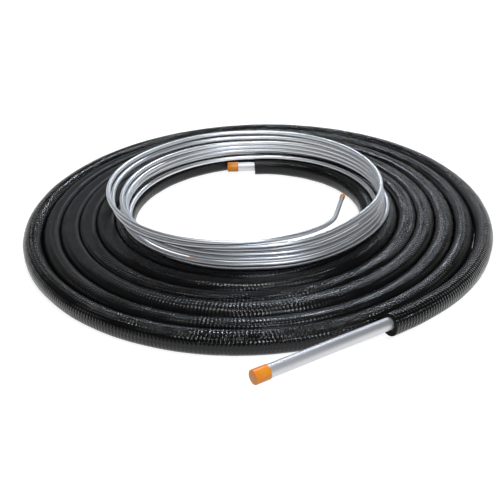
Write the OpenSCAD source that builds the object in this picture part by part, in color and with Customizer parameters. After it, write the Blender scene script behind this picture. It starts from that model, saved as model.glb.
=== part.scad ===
// Refrigerant line set: a flat floor coil of foam-covered suction tube, with the
// bare liquid tube wound into a ring that lies on its innermost turns.
// Millimetres, +Z up, floor at z = 0. The origin is on the floor, below the
// middle of the bounding box.

/* [Suction line] */
// Outer diameter of the suction tube (7/8 in)
suction_od = 22.22; // [19.05:0.01:25]
// Wall of the suction tube
suction_wall = 1.2; // [0.8:0.1:2]
// Thickness of the foam insulation (3/8 in) with its embossed jacket
foam_wall = 10; // [9.5:0.1:13]
// How far the coil's weight presses the foam's underside flat
foam_flat = 0.8; // [0.4:0.1:1.5]
// How far neighbouring turns press each other's sides flat
side_press = 1.6; // [1:0.1:2]
// Slack between the tube and the foam's bore, on the radius
foam_slack = 0.1; // [0.05:0.05:0.3]
// Bare tube past the foam at the outer end
outer_bare = 272; // [100:1:400]
// Bare tube past the foam at the inner end
inner_bare = 68; // [45:1:100]

/* [Coil] */
// Centre-line radius of the outermost half turn
coil_radius = 486; // [480:1:540]
// Gap between neighbouring turns
turn_gap = 0.35; // [0.2:0.05:1]
// Whole turns between the two ends' part turns
coil_turns = 6; // [5:1:6]
// How steeply the outer end's part turn is banked, which lifts it off the floor
outer_bank = 4.5; // [2:0.5:5]
// Straight stretch of foam at the outer end, after that part turn
outer_straight = 42; // [20:1:80]
// Part turn of foam beyond them at the inner end, in degrees
inner_arc = 90; // [80:10:100]

/* [Liquid line] */
// Outer diameter of the liquid tube (3/8 in)
liquid_od = 9.53; // [8:0.01:9.53]
// Wall of the liquid tube
liquid_wall = 1; // [0.7:0.1:1.4]
// Gap between one turn of the ring and the next one up
ring_gap = 0.3; // [0.2:0.1:0.6]
// Turns of the ring that are stacked above its two base turns
stacked_turns = 5; // [4:1:6]
// Distance of the ring's centre line in front of the coil's centre
ring_front = 271; // [268:1:274]
// Distance of the lower turns' centre line behind the coil's centre
ring_back = 258; // [256:1:262]
// How much farther back each of the top turns lies than the one below
ring_lean = 10; // [2:1:12]
// How much farther forward each of the top turns lies than the one below
ring_flare = 5.5; // [2:0.5:7]
// How far the outer base turn strays outward at the back
ring_stray = 20; // [18:1:26]
// Straight stretch of the ring at the front and back of each turn
ring_straight = 28; // [20:1:34]
// How much farther to the left each of the top turns lies than the one below
ring_drift = 8; // [2:1:10]
// Spring of the upper end above the turn below it
end_lift = 3; // [3:0.5:6]
// Bend radius and straight length of the upper end
upper_bend = 209; // [190:1:215]
upper_straight = 163; // [120:1:200]
// Bend radius and straight length of the lower end
lower_bend = 120; // [110:1:130]
lower_straight = 54; // [40:1:60]

/* [End caps] */
// Wall of the plastic caps
cap_wall = 1; // [0.8:0.1:1.4]
// Slack between a cap and its tube, on the radius
cap_slack = 0.05; // [0.05:0.05:0.2]
// Length of the suction tube's caps
suction_cap_length = 27; // [20:1:45]
// Length of the liquid tube's caps
liquid_cap_length = 18; // [12:1:30]
// Rounding of a cap's closed rim
cap_round = 1.5; // [1:0.1:2]

/* [Hidden] */
$fn = 96;

foam_od = suction_od + 2 * foam_wall;
axis_z = foam_od / 2 - foam_flat;
pitch = foam_od - 2 * side_press + turn_gap;
half_pitch = pitch / 2;
half_turns = 2 * coil_turns;
outer_radius = coil_radius + half_pitch;
inner_radius = coil_radius - half_turns * half_pitch;
far = 3 * coil_radius;

// Tilts are rounded to short cosines, so that turned tubes keep their exact size and
// meet. Larger turns are by angles of the triangles 7-24-25, 237-3116-3125 and 3-4-5.
function neat(angle) = acos(round(cos(angle) * 1e6) / 1e6);
steep = atan2(7, 24);
slight = atan2(237, 3116);
wide = atan2(4, 3);
bank = neat(outer_bank);
outer_arc = wide + slight;

// The banked part turn is pressed harder, which keeps it clear of the next turn
rise_press = 1;

// Middle of the bounding box: the coil's back edge and the outer cap's rim bound it
suction_cap_od = suction_od + 2 * (cap_slack + cap_wall);
back_edge = coil_radius + foam_od / 2 - side_press;
front_edge = outer_radius * sin(outer_arc)
    + (outer_straight + outer_bare + cap_wall - cap_round) * cos(outer_arc)
    + (suction_cap_od / 2 - cap_round) * sin(outer_arc) + cap_round;
middle_y = (back_edge - front_edge) / 2;

// The ring's base turns lie on the foam, with a hair of room
rest_gap = 0.1;
base_z = axis_z + foam_od / 2 + liquid_od / 2 + rest_gap;
ring_pitch = liquid_od + ring_gap;
base_side = 11;
step_out = 4;
ring_turns = stacked_turns + 2;
ring_left = 2.8;

// Where turn t of the ring crosses the line through its front and back: the first two
// turns lie side by side, the next are stacked upright, and the top ones spread
function front_y(t) = t == 0 ? ring_front - base_side : t == 2 ? ring_front + step_out
    : ring_front + max(t - ring_turns + 2, 0) * ring_flare;
function back_y(t) = t == 0 ? ring_back - base_side : t == 1 ? ring_back + ring_stray
    : ring_back + top_turn(t) * ring_lean;
function front_z(t) = base_z + max(t - 1, 0) * ring_pitch + (t == ring_turns ? end_lift : 0);
function back_z(t) = t < 2 ? base_z : base_z + (t - 0.5) * ring_pitch;
function top_turn(t) = max(t - ring_turns + 3, 0);

// Half turn h runs from the front to the back when h is even, and back to the front
// when it is odd. Its plane slopes just enough to join the two crossings.
function odd(h) = h % 2 == 1;
function turn(h) = floor(h / 2);
function half_span(h) = front_y(turn(h) + (odd(h) ? 1 : 0)) + back_y(turn(h));
function half_rise(h) = (odd(h) ? -1 : 1) * (back_z(turn(h)) - front_z(turn(h) + (odd(h) ? 1 : 0)));
function half_radius(h) = round(50 * norm([half_span(h), half_rise(h)])) / 100;

function half_slope(h) = h == 0 ? 0
    : neat(atan(half_rise(h) / half_span(h)) + half_slope(h - 1)) - half_slope(h - 1);

// The straight stretch before half turn h, longer where the top turns drift to the left
function before_half(h) = ring_straight + (odd(h) && top_turn(turn(h) + 1) > 0 ? ring_drift : 0);

// Puts the coil's centre so that the origin is below the middle of the box
module placed() {
    translate([0, -middle_y, 0]) children();
}

// The foam's section: a ring with its underside and both sides pressed flat
module foam_section(extra = 0) {
    side = foam_od / 2 - side_press - extra;
    difference() {
        intersection() {
            circle(d = foam_od);
            translate([-side, foam_flat + extra - foam_od / 2]) square([2 * side, foam_od]);
        }
        circle(d = suction_od + 2 * foam_slack);
    }
}

module tube_section(od, wall) {
    difference() {
        circle(d = od);
        circle(d = od - 2 * wall);
    }
}

// A half turn of a bent section about the z axis, from the x axis
module half_turn(radius, angle = 180) {
    rotate_extrude(angle = angle) translate([radius, 0]) children();
}

// A straight tube along +Y from the origin
module straight_tube(length, od, wall) {
    rotate([-90, 0, 0]) difference() {
        cylinder(d = od, h = length);
        translate([0, 0, -1]) cylinder(d = od - 2 * wall, h = length + 2);
    }
}

// The frame of the part turn at the outer end, banked about the line where it starts
module at_bank() {
    translate([coil_radius, 0, axis_z]) rotate([0, bank, 0]) translate([-outer_radius, 0, 0])
        children();
}

// Turned by the outer part turn
module outer_turned() {
    rotate([0, 0, -wide]) rotate([0, 0, -slight]) children();
}

// Frames where the outer part turn stops and at the foam's two ends, +Y out of the foam
module after_bank() {
    at_bank() outer_turned() translate([outer_radius, 0, 0]) mirror([0, 1, 0]) children();
}

module at_outer_end() {
    after_bank() translate([0, outer_straight, 0]) children();
}

module at_inner_end() {
    translate([0, 0, axis_z]) rotate([0, 0, inner_arc]) translate([inner_radius, 0, 0]) children();
}

// The flat coil: half turns about two centres that are half a pitch apart. Each
// radius is half a pitch less than the last, so that they meet on one tangent.
module coil() {
    for (h = [0:half_turns - 1])
        translate([h % 2 == 0 ? 0 : -half_pitch, 0, axis_z]) rotate([0, 0, h % 2 == 0 ? 0 : 180])
            half_turn(coil_radius - h * half_pitch) children();
    translate([0, 0, axis_z]) difference() {
        half_turn(inner_radius) children();
        rotate([0, 0, inner_arc]) translate([-far, 0, -far]) cube(2 * far);
    }
}

// The banked part turn
module rising_arc() {
    at_bank() difference() {
        half_turn(outer_radius, -180) children();
        outer_turned() translate([-far, -2 * far, -far]) cube(2 * far);
    }
}

module suction_insulation() {
    color("#1c1c1f") placed() {
        coil() foam_section();
        rising_arc() foam_section(rise_press);
        after_bank() rotate([-90, 0, 0]) linear_extrude(outer_straight)
            rotate(180) foam_section(rise_press);
    }
}

module suction_tube() {
    color("#c9ccd1") placed() {
        coil() tube_section(suction_od, suction_wall);
        rising_arc() tube_section(suction_od, suction_wall);
        after_bank() straight_tube(outer_straight + outer_bare, suction_od, suction_wall);
        at_inner_end() straight_tube(inner_bare, suction_od, suction_wall);
    }
}

// The frame where the stretch before half turn h of the ring starts: +X runs along the
// tube, and +Y points across the ring. Each is reached from the last, so that the ends
// meet exactly.
module at_half(h) {
    if (h == 0)
        translate([-ring_left - ring_straight / 2, -front_y(0), front_z(0)])
            rotate([half_slope(0), 0, 0]) children();
    else
        at_half(h - 1) half_end(h - 1) rotate([half_slope(h - 1) + half_slope(h), 0, 0]) children();
}

module half_end(h) {
    translate([before_half(h), 2 * half_radius(h), 0]) rotate([0, 0, 180]) children();
}

// Where the bend of an end of the ring stops, short of a quarter turn
module bend_stop(upper) {
    if (upper) rotate([0, 0, -steep]) rotate([0, 0, slight]) children();
    else rotate([0, 0, -wide]) children();
}

// An end of the ring: it starts at the origin along +X, bends towards +Y and runs straight
module end_tube(upper, bend, straight) {
    translate([0, bend, 0]) difference() {
        rotate([0, 0, -90]) half_turn(bend) tube_section(liquid_od, liquid_wall);
        bend_stop(upper) translate([-far, 0, -far]) cube(2 * far);
    }
    after_bend(upper, bend) straight_tube(straight, liquid_od, liquid_wall);
}

// Frame after that bend, with +Y along the tube
module after_bend(upper, bend) {
    translate([0, bend, 0]) bend_stop(upper) translate([bend, 0, 0]) children();
}

// Frames where the two ends leave the ring at the front, dipping as they bend inward
module at_upper_end() {
    at_half(2 * ring_turns - 1) half_end(2 * ring_turns - 1)
        rotate([-steep, 0, 0]) rotate([slight, 0, 0]) children();
}

module at_lower_end() {
    at_half(0) mirror([1, 0, 0]) rotate([-steep, 0, 0]) children();
}

module liquid_tube() {
    color("#d5d8dc") placed() {
        for (h = [0:2 * ring_turns - 1]) at_half(h) {
            rotate([0, 0, -90]) straight_tube(before_half(h), liquid_od, liquid_wall);
            translate([before_half(h), half_radius(h), 0]) rotate([0, 0, -90])
                half_turn(half_radius(h)) tube_section(liquid_od, liquid_wall);
        }
        at_upper_end() end_tube(true, upper_bend, upper_straight);
        at_lower_end() end_tube(false, lower_bend, lower_straight);
    }
}

// A slip-on plastic cap whose floor touches the end of a tube at the origin,
// with +Y out of the tube
module cap(tube_od, length) {
    bore = tube_od / 2 + cap_slack;
    outside = bore + cap_wall;
    color("#f07a18") rotate([-90, 0, 0]) rotate_extrude() difference() {
        translate([0, cap_wall - length]) union() {
            square([outside - cap_round, length]);
            square([outside, length - cap_round]);
            translate([outside - cap_round, length - cap_round]) circle(cap_round);
        }
        translate([-1, -length - 1]) square([bore + 1, length + 1]);
    }
}

module outer_suction_cap() {
    placed() at_outer_end() translate([0, outer_bare, 0]) cap(suction_od, suction_cap_length);
}

module inner_suction_cap() {
    placed() at_inner_end() translate([0, inner_bare, 0]) cap(suction_od, suction_cap_length);
}

module upper_liquid_cap() {
    placed() at_upper_end() after_bend(true, upper_bend) translate([0, upper_straight, 0])
        cap(liquid_od, liquid_cap_length);
}

module lower_liquid_cap() {
    placed() at_lower_end() after_bend(false, lower_bend) translate([0, lower_straight, 0])
        cap(liquid_od, liquid_cap_length);
}

suction_insulation();
suction_tube();
outer_suction_cap();
inner_suction_cap();
liquid_tube();
upper_liquid_cap();
lower_liquid_cap();
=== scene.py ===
import math

import bmesh
import bpy
import numpy as np
from mathutils import Matrix, Vector


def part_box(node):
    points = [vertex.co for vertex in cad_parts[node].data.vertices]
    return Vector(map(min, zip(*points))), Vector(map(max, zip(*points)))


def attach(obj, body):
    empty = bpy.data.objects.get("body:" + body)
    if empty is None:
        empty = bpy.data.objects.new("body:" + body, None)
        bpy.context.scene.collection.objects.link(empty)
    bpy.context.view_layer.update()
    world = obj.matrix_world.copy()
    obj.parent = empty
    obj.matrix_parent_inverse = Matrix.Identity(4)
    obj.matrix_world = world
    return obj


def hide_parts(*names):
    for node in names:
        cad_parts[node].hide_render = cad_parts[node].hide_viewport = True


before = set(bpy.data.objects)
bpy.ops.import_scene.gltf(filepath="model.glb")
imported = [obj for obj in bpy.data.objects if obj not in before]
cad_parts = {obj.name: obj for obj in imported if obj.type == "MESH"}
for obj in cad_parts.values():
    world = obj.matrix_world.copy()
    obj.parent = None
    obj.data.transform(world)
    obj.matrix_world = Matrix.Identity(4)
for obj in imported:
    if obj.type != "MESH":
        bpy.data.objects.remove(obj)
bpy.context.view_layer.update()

# ---------------------------------------------------------------- sizes, in metres
# The same values and formulas as the part's source.
SUCTION_R = 0.02222 / 2
SUCTION_WALL = 0.0012
FOAM_WALL = 0.010
FOAM_FLAT = 0.0008
SIDE_PRESS = 0.0016
FOAM_SLACK = 0.0001
OUTER_BARE = 0.272
INNER_BARE = 0.068
COIL_RADIUS = 0.486
TURN_GAP = 0.00035
COIL_TURNS = 6
OUTER_STRAIGHT = 0.042
OUTER_BANK = math.radians(4.5)
INNER_ARC = math.radians(90)
STEEP = math.atan2(7, 24)
SLIGHT = math.atan2(237, 3116)
WIDE = math.atan2(4, 3)
OUTER_ARC = WIDE + SLIGHT
RISE_PRESS = 0.001

FULL = 2 * math.pi
FOAM_R = SUCTION_R + FOAM_WALL
AXIS_Z = FOAM_R - FOAM_FLAT
HALF_WIDTH = FOAM_R - SIDE_PRESS
HALF_PITCH = HALF_WIDTH + TURN_GAP / 2

LIQUID_R = 0.00953 / 2
LIQUID_WALL = 0.001
RING_PITCH = 2 * LIQUID_R + 0.0003
RING_TURNS = 7
RING_FRONT = 0.271
RING_BACK = 0.258
RING_LEAN = 0.010
RING_FLARE = 0.0055
RING_STRAY = 0.020
RING_STRAIGHT = 0.028
RING_DRIFT = 0.008
RING_LEFT = 0.0028
BASE_SIDE = 0.011
STEP_OUT = 0.004
END_LIFT = 0.003
UPPER_BEND, UPPER_STRAIGHT = 0.209, 0.163
LOWER_BEND, LOWER_STRAIGHT = 0.120, 0.054
BASE_Z = AXIS_Z + FOAM_R + LIQUID_R + 0.0001

CAP_WALL = 0.001
CAP_SLACK = 0.00005
CAP_ROUND = 0.0015
SUCTION_CAP_LENGTH = 0.027
LIQUID_CAP_LENGTH = 0.018

# The coil's centre in the frame, from the coil's back edge
low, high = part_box("suction_insulation")
CENTRE_Y = high.y - COIL_RADIUS - HALF_WIDTH
CENTRE = np.array([0, CENTRE_Y, 0])


# ---------------------------------------------------------------- paths
def run_length(points):
    return np.concatenate([[0], np.cumsum(np.linalg.norm(np.diff(points, axis=0), axis=1))])


def banked(v, bank):
    """Vectors turned about the y axis."""
    return np.stack([v[:, 0] * np.cos(bank) + v[:, 2] * np.sin(bank), v[:, 1],
                     v[:, 2] * np.cos(bank) - v[:, 0] * np.sin(bank)], -1)


def coil_frame(angle):
    """Points of the coil's centre line at running angles, with the directions outward and
    upward: half turns about two centres, and a banked part turn before the first."""
    half = np.clip(np.floor(angle / math.pi + 1e-9), -1, 2 * COIL_TURNS)
    radius = COIL_RADIUS - half * HALF_PITCH
    shift = np.where(half % 2 == 0, 0, -HALF_PITCH)
    zero = np.zeros_like(angle)
    outward = np.stack([np.cos(angle), np.sin(angle), zero], -1)
    upward = np.stack([zero, zero, zero + 1], -1)
    hinge = np.array([COIL_RADIUS, 0, 0])
    points = outward * radius[:, None] + np.stack([shift, zero, zero], -1) - hinge
    bank = np.where(angle < 0, OUTER_BANK, 0)
    points = banked(points, bank) + hinge + CENTRE + np.array([0, 0, AXIS_Z])
    return points, banked(outward, bank), banked(upward, bank)


def suction_line(step, lead, tail):
    """The coil from its outer end with straight stretches at both ends: its points, the
    directions outward, upward and forward, the running angle and the length so far."""
    fine = np.linspace(-OUTER_ARC, FULL * COIL_TURNS + INNER_ARC, 40001)
    run = run_length(coil_frame(fine)[0])
    count = int((lead + run[-1] + tail) / step) + 1
    along = np.linspace(-lead, run[-1] + tail, count)
    angle = np.interp(along, run, fine)
    points, outward, upward = coil_frame(angle)
    forward = np.cross(upward, outward)
    beyond = np.minimum(along, 0) + np.maximum(along - run[-1], 0)
    return points + beyond[:, None] * forward, outward, upward, forward, angle, along + lead


def arc(start, heading, inward, radius, sweep, step):
    """Points of an arc that leaves start along heading and bends towards inward."""
    count = max(int(radius * sweep / step), 2)
    s = np.linspace(0, sweep, count + 1)[:, None]
    return start + radius * (np.sin(s) * heading + (1 - np.cos(s)) * inward)


def line(start, heading, length, step):
    count = max(int(length / step), 1)
    return start + np.linspace(0, length, count + 1)[:, None] * heading


def front(turn, x):
    """Where the liquid ring's turn crosses the line through its front."""
    y = RING_FRONT + max(turn - RING_TURNS + 2, 0) * RING_FLARE
    if turn == 0:
        y -= BASE_SIDE
    if turn == 2:
        y += STEP_OUT
    z = BASE_Z + max(turn - 1, 0) * RING_PITCH + (END_LIFT if turn == RING_TURNS else 0)
    return np.array([x, CENTRE_Y - y, z])


def back(turn, x):
    """The same for its back."""
    y = RING_BACK + max(turn - RING_TURNS + 3, 0) * RING_LEAN
    if turn == 0:
        y -= BASE_SIDE
    if turn == 1:
        y += RING_STRAY
    z = BASE_Z if turn < 2 else BASE_Z + (turn - 0.5) * RING_PITCH
    return np.array([x, CENTRE_Y + y, z])


# How far the ring's half turns spring off the CAD's even circles, outward: under the
# tube's own diameter in all. The right half turns are pulled in near the front, more
# and more towards the top, and the top two on the left cross each other.
RIGHT_PULL, RIGHT_PULL_PER_TURN, RIGHT_MIDDLE = -0.004, -0.0006, -0.002
STRAY_PULL, STRAY_MIDDLE = -0.007, 0.003
LEFT_BULGE, LEFT_BULGE_MIDDLE = 0.008, 0.002
LEFT_TOP_MIDDLE, LEFT_TOP_FAR = -0.005, -0.006
# Narrows the pull on the right, to clear the upper end
PULL_POWER = 1.9


def spring(turn, side, s):
    """How far a half turn springs outward, at an angle s from its front."""
    middle, between = np.sin(s) ** 2, np.sin(2 * s) ** 2
    near, far = between * (s < math.pi / 2), between * (s > math.pi / 2)
    if side > 0 and turn == 1:
        return STRAY_PULL * near + STRAY_MIDDLE * middle
    if side > 0:
        pull = RIGHT_PULL + RIGHT_PULL_PER_TURN * turn
        return pull * near ** PULL_POWER + RIGHT_MIDDLE * middle
    if turn == RING_TURNS - 2:
        return LEFT_BULGE * near + LEFT_BULGE_MIDDLE * middle
    if turn == RING_TURNS - 1:
        return LEFT_TOP_MIDDLE * middle + LEFT_TOP_FAR * far
    return 0 * s


def half_turn(a, b, turn, side, step):
    """Half a turn of the ring from a to b, on the right (side 1) or left (side -1)."""
    middle, radius = (a + b) / 2, np.linalg.norm(b - a) / 2
    count = int(math.pi * radius / step)
    s = np.linspace(0, math.pi, count + 1)[:, None]
    outward = (a - middle) / radius * np.cos(s) + side * np.sin(s) * np.array([1.0, 0, 0])
    from_front = s if side > 0 else math.pi - s
    return middle + outward * (radius + spring(turn, side, from_front))


def end_path(start, side, dip, sweep, bend, straight, step):
    """An end of the ring, from the ring outward, and the direction of its tip."""
    heading = np.array([side, 0.0, 0])
    inward = np.array([0, math.cos(dip), -math.sin(dip)])
    curve = arc(start, heading, inward, bend, sweep, step)
    tip = math.cos(sweep) * heading + math.sin(sweep) * inward
    return np.concatenate([curve, line(curve[-1], tip, straight, step)[1:]]), tip


def liquid_path(step):
    """The liquid tube from its lower to its upper tip, and the two tips' directions."""
    right, left = np.array([1.0, 0, 0]), np.array([-1.0, 0, 0])
    x = -RING_LEFT - RING_STRAIGHT / 2
    lower, lower_tip = end_path(front(0, x), -1, STEEP, math.pi / 2 - WIDE,
                                LOWER_BEND, LOWER_STRAIGHT, step)
    pieces = [lower[1:][::-1]]
    for turn in range(RING_TURNS):
        pieces.append(line(front(turn, x), right, RING_STRAIGHT, step)[:-1])
        x += RING_STRAIGHT
        pieces.append(half_turn(front(turn, x), back(turn, x), turn, 1, step)[:-1])
        # The top turns lie farther and farther to the left
        stretch = RING_STRAIGHT + (RING_DRIFT if turn > RING_TURNS - 4 else 0)
        pieces.append(line(back(turn, x), left, stretch, step)[:-1])
        x -= stretch
        pieces.append(half_turn(back(turn, x), front(turn + 1, x), turn, -1, step)[:-1])
    rise = front(RING_TURNS, x) - back(RING_TURNS - 1, x)
    dip = STEEP - SLIGHT + math.atan2(rise[2], -rise[1])
    upper, upper_tip = end_path(front(RING_TURNS, x), 1, dip, math.pi / 2 - STEEP + SLIGHT,
                                UPPER_BEND, UPPER_STRAIGHT, step)
    return np.concatenate(pieces + [upper]), lower_tip, upper_tip


# ---------------------------------------------------------------- mesh making
def unit(v):
    return v / np.linalg.norm(v, axis=-1, keepdims=True)


def frames(points):
    """Level sideways and upward directions at each point of a path."""
    tangent = unit(np.gradient(points, axis=0))
    across = unit(np.cross(tangent, np.array([0, 0, 1.0])))
    return across, np.cross(across, tangent)


def rings(points, section):
    """section is (stations, corners, 2) or (corners, 2): sideways and upward offsets."""
    across, up = frames(points)
    section = np.broadcast_to(section, (len(points),) + section.shape[-2:])
    return (points[:, None] + section[..., :1] * across[:, None]
            + section[..., 1:] * up[:, None])


def circle(radius, corners):
    s = np.arange(corners) / corners * FULL
    return radius * np.stack([np.cos(s), np.sin(s)], -1)


def hollow_tube(name, outer, outer_run, bore, around):
    """A closed tube from its rings outside and inside, with a map in metres along it
    and around it. The two end faces get the second material slot."""
    n, m = outer.shape[:2]
    k = len(bore)
    verts = np.concatenate([outer.reshape(-1, 3), bore[::-1].reshape(-1, 3)])
    loops = n + k
    corner = np.arange(m)
    after = (corner + 1) % m
    ring = np.arange(loops)[:, None]
    following = (ring + 1) % loops
    quads = np.stack([ring * m + corner, following * m + corner,
                      following * m + after, ring * m + after], -1).reshape(-1, 4)
    mesh = bpy.data.meshes.new(name)
    mesh.vertices.add(len(verts))
    mesh.vertices.foreach_set("co", verts.ravel())
    mesh.loops.add(quads.size)
    mesh.loops.foreach_set("vertex_index", quads.ravel())
    mesh.polygons.add(len(quads))
    mesh.polygons.foreach_set("loop_start", np.arange(0, quads.size, 4))
    mesh.polygons.foreach_set("loop_total", np.full(len(quads), 4))
    along = np.concatenate([outer_run, np.linspace(outer_run[-1], outer_run[0], k)])
    u = np.stack([np.broadcast_to(a, (loops, m)) for a in
                  (along[:, None], along[following], along[following], along[:, None])], -1)
    here, there = around[:-1], around[1:]
    v = np.stack([np.broadcast_to(a, (loops, m)) for a in (here, here, there, there)], -1)
    layer = mesh.uv_layers.new(name="length_girth")
    layer.uv.foreach_set("vector", np.stack([u, v], -1).astype(np.float32).ravel())
    material = np.zeros((loops, m), int)
    material[[n - 1, loops - 1]] = 1
    mesh.polygons.foreach_set("material_index", material.ravel())
    mesh.polygons.foreach_set("use_smooth", material.ravel() == 0)
    mesh.update(calc_edges=True)
    bm = bmesh.new()
    bm.from_mesh(mesh)
    bmesh.ops.recalc_face_normals(bm, faces=bm.faces)
    for edge in bm.edges:
        kinds = {f.material_index for f in edge.link_faces}
        edge.smooth = len(kinds) == 1
    bm.to_mesh(mesh)
    bm.free()
    piece = bpy.data.objects.new(name, mesh)
    bpy.context.scene.collection.objects.link(piece)
    return piece


def round_tube(name, points, radius, wall, corners, bore_skip):
    outer = rings(points, circle(radius, corners))
    keep = np.unique(np.append(np.arange(0, len(points), bore_skip), len(points) - 1))
    bore = rings(points, circle(radius - wall, corners))[keep]
    around = np.linspace(0, FULL * radius, corners + 1)
    return hollow_tube(name, outer, run_length(points), bore, around)


# ---------------------------------------------------------------- foam jacket
JACKET_CORNERS = 22
JACKET_STEP = 0.0038
JACKET_BORE_STEP = 0.05
# How much closer together the corners lie on top than below
TOP_CROWDING = 0.3
# How far the cut outer end sags, and over what length
SAG = 0.004
SAG_LENGTH = 0.13
# The part of a turn, in radians, in which the section takes up the outer end's bank
TWIST = 0.35
# How far a turn's side reaches past the pressed plane at least, so that it's cut flat
LEAST_PRESS = 0.0015
# What keeps touching turns apart, and the dents inside the clean section
HAIRLINE = 0.00002
DENT_DEPTH = 0.0006

# How open the groove inside each turn is at the right, back, left and front, from the
# outer part turn inward: 0 is pressed nearly flush, 1 as open as between round tubes
OPENNESS = (
    (1.0, 1.0, 1.0, 1.0),
    (1.0, 0.8, 1.0, 0.35),
    (0.7, 0.6, 0.5, 1.0),
    (0.5, 0.5, 0.3, 0.1),
    (0.3, 0.4, 0.3, 1.0),
    (0.6, 0.5, 0.1, 0.4),
    (0.5, 0.6, 1.0, 1.0),
    (1.0, 1.0, 1.0, 1.0),
)
# How far the groove lies inward of its even place, in millimetres
SHIFT = (
    (0, 0, 0, 0),
    (0, 0, 3, 1),
    (0, 0, 0, 0),
    (1, 1, 1, 1),
    (0, -1, -3, 0),
    (-1, 0, -2, 0),
    (0, 0, 0, 0),
    (0, 0, 0, 0),
)
# How glossy and deeply embossed the film is, in the same places
GLOSS = (
    (1.0, 1.0, 1.0, 1.0),
    (1.0, 1.0, 0.8, 1.0),
    (0.8, 0.6, 0.1, 0.8),
    (0.7, 0.5, 0.05, 0.7),
    (0.8, 0.6, 0.05, 1.0),
    (0.8, 0.5, 0.05, 0.9),
    (0.5, 0.7, 0.6, 0.6),
    (0.7, 0.7, 0.7, 0.7),
)


def smooth(x):
    x = np.clip(x, 0, 1)
    return x * x * (3 - 2 * x)


def value_noise(u, v, cells, seed):
    """Smooth noise from -1 to 1 with unit cells in u; v runs from 0 to 1 and wraps."""
    rng = np.random.default_rng(seed)
    grid = rng.uniform(-1, 1, (int(u.max()) + 3, cells))
    w = v * cells
    iu, iv = np.floor(u).astype(int), np.floor(w).astype(int)
    fu, fv = smooth(u - iu), smooth(w - iv)
    iv, jv = iv % cells, (iv + 1) % cells
    return ((grid[iu, iv] * (1 - fu) + grid[iu + 1, iv] * fu) * (1 - fv)
            + (grid[iu, jv] * (1 - fu) + grid[iu + 1, jv] * fu) * fv)


def by_quarter(table, angle, turns_out):
    """A table's value at a running angle, or on the turn outside it."""
    table = np.array(table, float)
    turn = np.floor(angle / FULL + 1e-9).astype(int) + 1 - turns_out
    quarter = (angle % FULL) / (math.pi / 2)
    q = np.floor(quarter).astype(int) % 4
    rows = table[np.clip(turn, 0, len(table) - 1)]
    after = table[np.clip(turn + 1, 0, len(table) - 1)]
    here = rows[np.arange(len(q)), q]
    there = np.where(q == 3, after[:, 0], rows[np.arange(len(q)), (q + 1) % 4])
    f = smooth(quarter - np.floor(quarter))
    return here * (1 - f) + there * f


def vertex_of_loop(mesh):
    index = np.zeros(len(mesh.loops), int)
    mesh.loops.foreach_get("vertex_index", index)
    return index


def jacket():
    points, outward, upward, forward, angle, along = suction_line(JACKET_STEP, OUTER_STRAIGHT, 0)
    # The section takes up the bank over a short way
    twist = (OUTER_BANK * (1 - smooth(-angle / TWIST)) * (angle < 0))[:, None]
    outward = outward * np.cos(twist) + upward * np.sin(twist)
    upward = np.cross(outward, forward)
    # Corners run from the outer side over the top, and lie closest together up there
    even = np.arange(JACKET_CORNERS + 1) / JACKET_CORNERS * FULL
    s = even + TOP_CROWDING * np.cos(even)
    around = (s - s[0]) * FOAM_R
    s = s[:-1]
    cos, sin = np.cos(s)[None], np.sin(s)[None]
    inner = cos < 0
    openness = np.where(inner, by_quarter(OPENNESS, angle, 0)[:, None],
                        by_quarter(OPENNESS, angle, 1)[:, None])
    shift = np.where(inner, by_quarter(SHIFT, angle, 0)[:, None],
                     -by_quarter(SHIFT, angle, 1)[:, None]) / 1000
    # The turns touch, and the outermost keeps its free side and stays clear where it rises
    free = (~inner) & (angle < FULL - OUTER_ARC)[:, None]
    limit = np.where(free, HALF_WIDTH, HALF_PITCH - HAIRLINE) + shift
    limit = limit - RISE_PRESS * smooth(-angle / TWIST)[:, None]
    below_rise = (~inner) & ((angle >= FULL - OUTER_ARC) & (angle < FULL))[:, None]
    limit = limit + below_rise * RISE_PRESS / 2
    # Open turns are round and meet low down, pressed ones are nearly square
    power = 2.0 + 5.0 * (1 - openness) ** 2 * (sin > -0.2)
    half_width = limit + np.maximum(SIDE_PRESS * openness, LEAST_PRESS)
    radius = ((np.abs(cos) / half_width) ** power
              + np.abs(sin / FOAM_R) ** power) ** (-1 / power)
    wrap = np.broadcast_to(around[None, :-1] / around[-1], radius.shape)
    run = np.broadcast_to(along[:, None], radius.shape)
    # The film's soft dents, wrinkles across it and long creases along it
    dents = (0.00030 * value_noise(run / 0.045, wrap, 8, 7)
             + 0.00022 * value_noise(run / 0.016, wrap, 11, 8)
             + 0.00028 * value_noise(run / 0.16, wrap, 14, 9) - DENT_DEPTH)
    side = np.clip((radius + dents) * cos, -limit, limit)
    rise = np.clip((radius + dents) * sin, -AXIS_Z, FOAM_R)
    # The cut end hangs on the tube
    rise = rise - SAG * smooth(1 - along / SAG_LENGTH)[:, None]
    outer = points[:, None] + side[..., None] * outward[:, None] \
        + rise[..., None] * upward[:, None]
    points, outward, upward = suction_line(JACKET_BORE_STEP, OUTER_STRAIGHT, 0)[:3]
    hole = (SUCTION_R + FOAM_SLACK) * np.stack([cos[0], sin[0]], -1)
    bore = points[:, None] + hole[None, :, :1] * outward[:, None] \
        + hole[None, :, 1:] * upward[:, None]
    piece = hollow_tube("foam_jacket", outer, along, bore, around)
    # A second map carries the gloss, with the bore's plain
    gloss = np.concatenate([by_quarter(GLOSS, angle, 0), np.full(len(bore), 0.5)])
    at_corner = np.repeat(gloss, JACKET_CORNERS)[vertex_of_loop(piece.data)]
    layer = piece.data.uv_layers.new(name="gloss")
    layer.uv.foreach_set("vector", np.stack([at_corner, at_corner], -1).astype(np.float32).ravel())
    return piece


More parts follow.
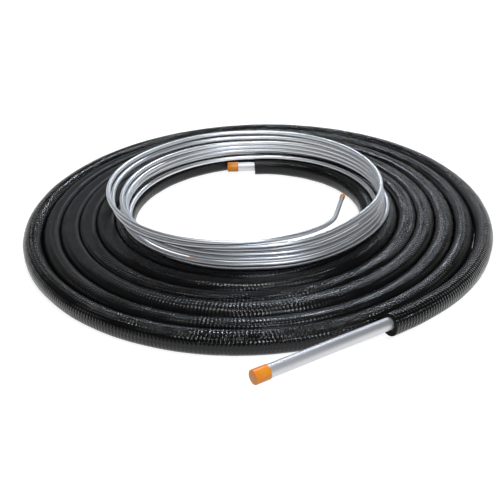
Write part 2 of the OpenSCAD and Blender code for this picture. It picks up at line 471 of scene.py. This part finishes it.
# ---------------------------------------------------------------- caps
def cap(name, tip, direction, tube_r, length):
    """A slip-on cap, turned about the tube's axis, with a rounded rim and crown."""
    bore = tube_r + CAP_SLACK
    out = bore + CAP_WALL
    soft = CAP_ROUND
    profile = [(0.0, 0.0), (bore, 0.0), (bore, CAP_WALL - length)]
    lip = 0.0004
    for s in np.linspace(0, math.pi, 7):
        middle = bore + CAP_WALL / 2
        profile.append((middle - CAP_WALL / 2 * math.cos(s),
                        CAP_WALL - length + lip - lip * math.sin(s)))
    for s in np.linspace(0, math.pi / 2, 9):
        profile.append((out - soft + soft * math.cos(s), CAP_WALL - soft + soft * math.sin(s)))
    profile.append((0.0, CAP_WALL))
    corners = 48
    bm = bmesh.new()
    loops = []
    for r, h in profile:
        if r == 0:
            loops.append([bm.verts.new((0, 0, h))])
        else:
            loops.append([bm.verts.new((r * math.cos(FULL * i / corners),
                                        r * math.sin(FULL * i / corners), h))
                          for i in range(corners)])
    for a, b in zip(loops, loops[1:]):
        for i in range(corners):
            j = (i + 1) % corners
            ring = [a[i % len(a)], a[j % len(a)], b[j % len(b)], b[i % len(b)]]
            bm.faces.new(list(dict.fromkeys(ring)))
    bmesh.ops.recalc_face_normals(bm, faces=bm.faces)
    for f in bm.faces:
        f.smooth = True
    mesh = bpy.data.meshes.new(name)
    bm.to_mesh(mesh)
    bm.free()
    turn = Vector(direction).to_track_quat("Z", "Y").to_matrix().to_4x4()
    mesh.transform(Matrix.Translation(Vector(tip)) @ turn)
    piece = bpy.data.objects.new(name, mesh)
    bpy.context.scene.collection.objects.link(piece)
    return piece


# ---------------------------------------------------------------- materials
class Nodes:
    """A little help for making node materials."""

    def __init__(self, name):
        self.material = bpy.data.materials.new(name)
        self.material.use_nodes = True
        self.tree = self.material.node_tree
        self.tree.nodes.clear()
        self.out = self.add("ShaderNodeOutputMaterial")
        self.bsdf = self.add("ShaderNodeBsdfPrincipled")
        self.link(self.bsdf.outputs[0], self.out.inputs["Surface"])

    def add(self, kind, **settings):
        node = self.tree.nodes.new(kind)
        for key, value in settings.items():
            setattr(node, key, value)
        return node

    def link(self, a, b):
        self.tree.links.new(a, b)

    def feed(self, value, socket):
        if hasattr(value, "is_output"):
            self.link(value, socket)
        else:
            socket.default_value = value

    def math(self, operation, a, b=0.0, c=0.0):
        node = self.add("ShaderNodeMath", operation=operation)
        for socket, value in zip(node.inputs, (a, b, c)):
            self.feed(value, socket)
        return node.outputs[0]

    def noise(self, vector, scale, detail=2.0, roughness=0.5):
        node = self.add("ShaderNodeTexNoise")
        self.feed(vector, node.inputs["Vector"])
        node.inputs["Scale"].default_value = scale
        node.inputs["Detail"].default_value = detail
        node.inputs["Roughness"].default_value = roughness
        return node.outputs["Fac"]

    def remap(self, value, a0, a1, b0, b1):
        node = self.add("ShaderNodeMapRange")
        for socket, v in zip(node.inputs, (value, a0, a1, b0, b1)):
            self.feed(v, socket)
        return node.outputs[0]

    def scaled(self, vector, scale):
        node = self.add("ShaderNodeMapping")
        self.feed(vector, node.inputs["Vector"])
        node.inputs["Scale"].default_value = scale
        return node.outputs[0]

    def ramp(self, value, low, high):
        node = self.add("ShaderNodeMix", data_type="RGBA")
        self.feed(value, node.inputs["Factor"])
        node.inputs["A"].default_value = (*low, 1)
        node.inputs["B"].default_value = (*high, 1)
        return node.outputs["Result"]

    def bump(self, height, distance, strength=1.0, normal=None):
        node = self.add("ShaderNodeBump")
        node.inputs["Distance"].default_value = distance
        node.inputs["Strength"].default_value = strength
        self.feed(height, node.inputs["Height"])
        if normal is not None:
            self.link(normal, node.inputs["Normal"])
        return node.outputs[0]

    def tube_map(self):
        node = self.add("ShaderNodeUVMap")
        node.uv_map = "length_girth"
        parts = self.add("ShaderNodeSeparateXYZ")
        self.link(node.outputs[0], parts.inputs[0])
        return node.outputs[0], parts.outputs[0], parts.outputs[1]

    def gloss_map(self):
        node = self.add("ShaderNodeUVMap")
        node.uv_map = "gloss"
        parts = self.add("ShaderNodeSeparateXYZ")
        self.link(node.outputs[0], parts.inputs[0])
        return parts.outputs[0]

    def place(self):
        return self.add("ShaderNodeTexCoord").outputs["Object"]


# The film's embossing: the ribs' pitch along the tube, and the pitch of their rows
RIB_PITCH = 0.0068
ROW_PITCH = 0.0070
# Bump depths, in metres
RIB_DEPTH = 0.0006
CRINKLE_DEPTH = 0.0004
CREASE_DEPTH = 0.0007
DULL_ROUGHNESS, GLOSSY_ROUGHNESS = 0.50, 0.10
FILM_SPECULAR = 0.32


def film_material():
    """Black polyethylene film, embossed with short crosswise ribs in rows."""
    m = Nodes("film")
    uv, along, around = m.tube_map()
    drift = m.noise(m.scaled(uv, (14, 30, 1)), 1.0, 2)
    rib_phase = m.math("ADD", m.math("MULTIPLY", along, FULL / RIB_PITCH),
                       m.math("MULTIPLY", drift, 9.0))
    row_phase = m.math("ADD", m.math("MULTIPLY", around, FULL / ROW_PITCH),
                       m.math("MULTIPLY", m.noise(m.scaled(uv, (5, 60, 1)), 1.0, 1), 5.0))
    rib = m.math("SINE", rib_phase)
    row = m.math("SINE", row_phase)
    # Alternate rows carry deeper and shallower ribs, as in a basket weave
    weave = m.math("MULTIPLY", rib, m.remap(row, -1, 1, 0.25, 1.0))
    gloss = m.gloss_map()
    patches = m.remap(m.noise(m.scaled(uv, (9, 22, 1)), 1.0, 3), 0.40, 0.60, 0.45, 1.0)
    deep = m.math("MAXIMUM", patches, m.remap(gloss, 0.8, 1.0, 0.0, 0.9))
    weave = m.math("MULTIPLY", weave, m.math("MULTIPLY", deep, gloss))
    creases = m.noise(m.scaled(uv, (12, 240, 1)), 1.0, 3, 0.6)
    crinkle = m.math("MULTIPLY", m.noise(m.scaled(uv, (230, 260, 1)), 1.0, 2, 0.6),
                     m.remap(gloss, 0, 1, 0.15, 1.0))
    normal = m.bump(creases, CREASE_DEPTH, 0.5)
    normal = m.bump(crinkle, CRINKLE_DEPTH, 0.7, normal)
    normal = m.bump(weave, RIB_DEPTH, 1.0, normal)
    m.link(normal, m.bsdf.inputs["Normal"])
    tone = m.noise(m.scaled(uv, (6, 40, 1)), 1.0, 3)
    m.link(m.ramp(tone, (0.0016, 0.0018, 0.0026), (0.0050, 0.0048, 0.0046)),
           m.bsdf.inputs["Base Color"])
    smudge = m.remap(m.noise(m.scaled(uv, (30, 90, 1)), 1.0, 3), 0.3, 0.7, -0.04, 0.08)
    polish = m.remap(gloss, 0, 1, DULL_ROUGHNESS, GLOSSY_ROUGHNESS)
    m.link(m.math("ADD", smudge, polish), m.bsdf.inputs["Roughness"])
    m.bsdf.inputs["Specular IOR Level"].default_value = FILM_SPECULAR
    return m.material


def foam_material():
    """The cut end of the foam: fine closed cells."""
    m = Nodes("foam_cut")
    place = m.place()
    cells = m.add("ShaderNodeTexVoronoi")
    m.link(place, cells.inputs["Vector"])
    cells.inputs["Scale"].default_value = 900
    m.link(m.bump(cells.outputs["Distance"], 0.0004, 0.8), m.bsdf.inputs["Normal"])
    m.link(m.ramp(m.noise(place, 400), (0.004, 0.004, 0.004), (0.014, 0.013, 0.013)),
           m.bsdf.inputs["Base Color"])
    m.bsdf.inputs["Roughness"].default_value = 0.9
    m.bsdf.inputs["Specular IOR Level"].default_value = 0.2
    return m.material


def metal_material(name, colour, rough):
    """Drawn aluminium: satin, with faint draw lines along the tube and a soft mottle."""
    m = Nodes(name)
    uv, _, _ = m.tube_map()
    lines = m.noise(m.scaled(uv, (3, 2600, 1)), 1.0, 2)
    mottle = m.noise(m.scaled(uv, (7, 60, 1)), 1.0, 3)
    m.link(m.bump(lines, 0.00001, 0.4), m.bsdf.inputs["Normal"])
    dull = tuple(c * 0.93 for c in colour)
    m.link(m.ramp(m.remap(mottle, 0.3, 0.7, 0, 1), dull, colour), m.bsdf.inputs["Base Color"])
    m.link(m.remap(mottle, 0.3, 0.7, rough + 0.04, rough - 0.03), m.bsdf.inputs["Roughness"])
    m.bsdf.inputs["Metallic"].default_value = 1.0
    return m.material


def cap_material():
    """Orange moulded plastic with a soft sheen and slight flow marks."""
    m = Nodes("cap_orange")
    place = m.place()
    flow = m.noise(m.scaled(place, (60, 60, 60)), 1.0, 3)
    grain = m.noise(place, 1500, 2)
    m.link(m.bump(grain, 0.00008, 0.5), m.bsdf.inputs["Normal"])
    m.link(m.ramp(m.remap(flow, 0.3, 0.7, 0, 1), (1.0, 0.27, 0.010), (1.0, 0.35, 0.018)),
           m.bsdf.inputs["Base Color"])
    m.link(m.remap(flow, 0.3, 0.7, 0.28, 0.38), m.bsdf.inputs["Roughness"])
    return m.material


# ---------------------------------------------------------------- the object
def finish_piece(piece, node, slot, *materials):
    for material in materials:
        piece.data.materials.append(material)
    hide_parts(node)
    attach(piece, "root")


SUCTION_STEP = 0.012
LIQUID_STEP = 0.008

orange = cap_material()
suction_metal = metal_material("suction_aluminium", (0.66, 0.66, 0.68), 0.50)
liquid_metal = metal_material("liquid_aluminium", (0.75, 0.77, 0.80), 0.38)

finish_piece(jacket(), "suction_insulation", "foam_jacket", film_material(), foam_material())

path, _, _, forward, _, _ = suction_line(SUCTION_STEP, OUTER_STRAIGHT + OUTER_BARE,
                                        INNER_BARE)
suction = round_tube("suction_line", path, SUCTION_R, SUCTION_WALL, 32, 2)
finish_piece(suction, "suction_tube", "suction_metal", suction_metal, suction_metal)
finish_piece(cap("outer_cap", path[0], -forward[0], SUCTION_R, SUCTION_CAP_LENGTH),
             "outer_suction_cap", "cap_plastic", orange)
finish_piece(cap("inner_cap", path[-1], forward[-1], SUCTION_R, SUCTION_CAP_LENGTH),
             "inner_suction_cap", "cap_plastic", orange)

path, lower_way, upper_way = liquid_path(LIQUID_STEP)
liquid = round_tube("liquid_line", path, LIQUID_R, LIQUID_WALL, 24, 2)
finish_piece(liquid, "liquid_tube", "liquid_metal", liquid_metal, liquid_metal)
finish_piece(cap("lower_cap", path[0], lower_way, LIQUID_R, LIQUID_CAP_LENGTH),
             "lower_liquid_cap", "cap_plastic", orange)
finish_piece(cap("upper_cap", path[-1], upper_way, LIQUID_R, LIQUID_CAP_LENGTH),
             "upper_liquid_cap", "cap_plastic", orange)


# ---------------------------------------------------------------- stage
FLOOR_GREY = 0.34
FLOOR_LIFT = 0.90
CEILING_LIGHT = 0.07
# The heights, as sines, between which the backdrop fades into the ceiling
FADE_FROM, FADE_TO = 0.08, 0.34


def stage_floor():
    """A pale floor that keeps the object's shadow, lifted to white for the camera."""
    bpy.ops.mesh.primitive_plane_add(size=40, location=(0, 0, 0))
    floor = bpy.context.object
    floor.name = "floor"
    m = bpy.data.materials.new("pale_floor")
    m.use_nodes = True
    tree = m.node_tree
    tree.nodes.clear()
    out = tree.nodes.new("ShaderNodeOutputMaterial")
    diffuse = tree.nodes.new("ShaderNodeBsdfDiffuse")
    diffuse.inputs["Color"].default_value = (FLOOR_GREY, FLOOR_GREY, FLOOR_GREY, 1)
    glow = tree.nodes.new("ShaderNodeEmission")
    seen = tree.nodes.new("ShaderNodeLightPath")
    level = tree.nodes.new("ShaderNodeMath")
    level.operation = "MULTIPLY"
    level.inputs[1].default_value = FLOOR_LIFT
    either = tree.nodes.new("ShaderNodeMath")
    either.operation = "MAXIMUM"
    tree.links.new(seen.outputs["Is Camera Ray"], either.inputs[0])
    tree.links.new(seen.outputs["Is Glossy Ray"], either.inputs[1])
    tree.links.new(either.outputs[0], level.inputs[0])
    tree.links.new(level.outputs[0], glow.inputs["Strength"])
    both = tree.nodes.new("ShaderNodeAddShader")
    tree.links.new(diffuse.outputs[0], both.inputs[0])
    tree.links.new(glow.outputs[0], both.inputs[1])
    tree.links.new(both.outputs[0], out.inputs["Surface"])
    floor.data.materials.append(m)


def stage_world():
    """A white backdrop all round, with a dimmer ceiling over it."""
    world = bpy.data.worlds.new("studio")
    bpy.context.scene.world = world
    world.use_nodes = True
    tree = world.node_tree
    tree.nodes.clear()
    out = tree.nodes.new("ShaderNodeOutputWorld")
    place = tree.nodes.new("ShaderNodeTexCoord")
    parts = tree.nodes.new("ShaderNodeSeparateXYZ")
    tree.links.new(place.outputs["Generated"], parts.inputs[0])
    fade = tree.nodes.new("ShaderNodeMapRange")
    fade.interpolation_type = "SMOOTHSTEP"
    span = (FADE_FROM, FADE_TO, 1.0, CEILING_LIGHT)
    for socket, value in zip(list(fade.inputs)[1:5], span):
        socket.default_value = value
    tree.links.new(parts.outputs["Z"], fade.inputs["Value"])
    white = tree.nodes.new("ShaderNodeBackground")
    tree.links.new(fade.outputs[0], white.inputs["Strength"])
    white.inputs["Color"].default_value = (1, 1, 1, 1)
    tree.links.new(white.outputs[0], out.inputs["Surface"])


def lamp(name, place, aim, size, watts, colour=(1, 1, 1)):
    data = bpy.data.lights.new(name, "AREA")
    data.shape = "DISK"
    data.size = size
    data.energy = watts
    data.color = colour
    light = bpy.data.objects.new(name, data)
    light.location = place
    light.rotation_euler = (Vector(aim) - Vector(place)).to_track_quat("-Z", "Y").to_euler()
    bpy.context.scene.collection.objects.link(light)


def stage_camera():
    """The photograph's view: from in front and 29 degrees up, rolled by two degrees."""
    place = Vector((0, CENTRE_Y - 1.3837, 0.7537))
    aim = Vector((-0.0150, CENTRE_Y - 0.14058, 0))
    roll = math.radians(-1.95)
    data = bpy.data.cameras.new("camera")
    data.sensor_width = 36
    data.lens = 698.0 / 500 * 36
    data.shift_y = 2.72 / 500
    camera = bpy.data.objects.new("camera", data)
    look = (aim - place).to_track_quat("-Z", "Y").to_matrix().to_4x4()
    camera.matrix_world = Matrix.Translation(place) @ look @ Matrix.Rotation(roll, 4, "Z")
    bpy.context.scene.collection.objects.link(camera)
    bpy.context.scene.camera = camera


stage_floor()
stage_world()
lamp("key", (-0.15, -0.2, 2.3), (0, 0, 0), 0.25, 19, (1.0, 0.98, 0.95))
lamp("rear_high", (0.35, 2.4, 2.2), (0, -0.2, 0), 0.25, 26, (0.80, 0.89, 1.0))
lamp("front", (0.6, -1.9, 1.9), (0, -0.1, 0), 0.3, 26, (0.84, 0.91, 1.0))
lamp("rear_right", (1.3, 2.3, 1.4), (0, 0, 0), 0.25, 4, (0.80, 0.89, 1.0))
lamp("rear_left", (-1.4, 2.3, 1.4), (0, 0, 0), 0.20, 1.8, (0.85, 0.92, 1.0))
stage_camera()
bpy.context.scene.view_settings.view_transform = "Standard"
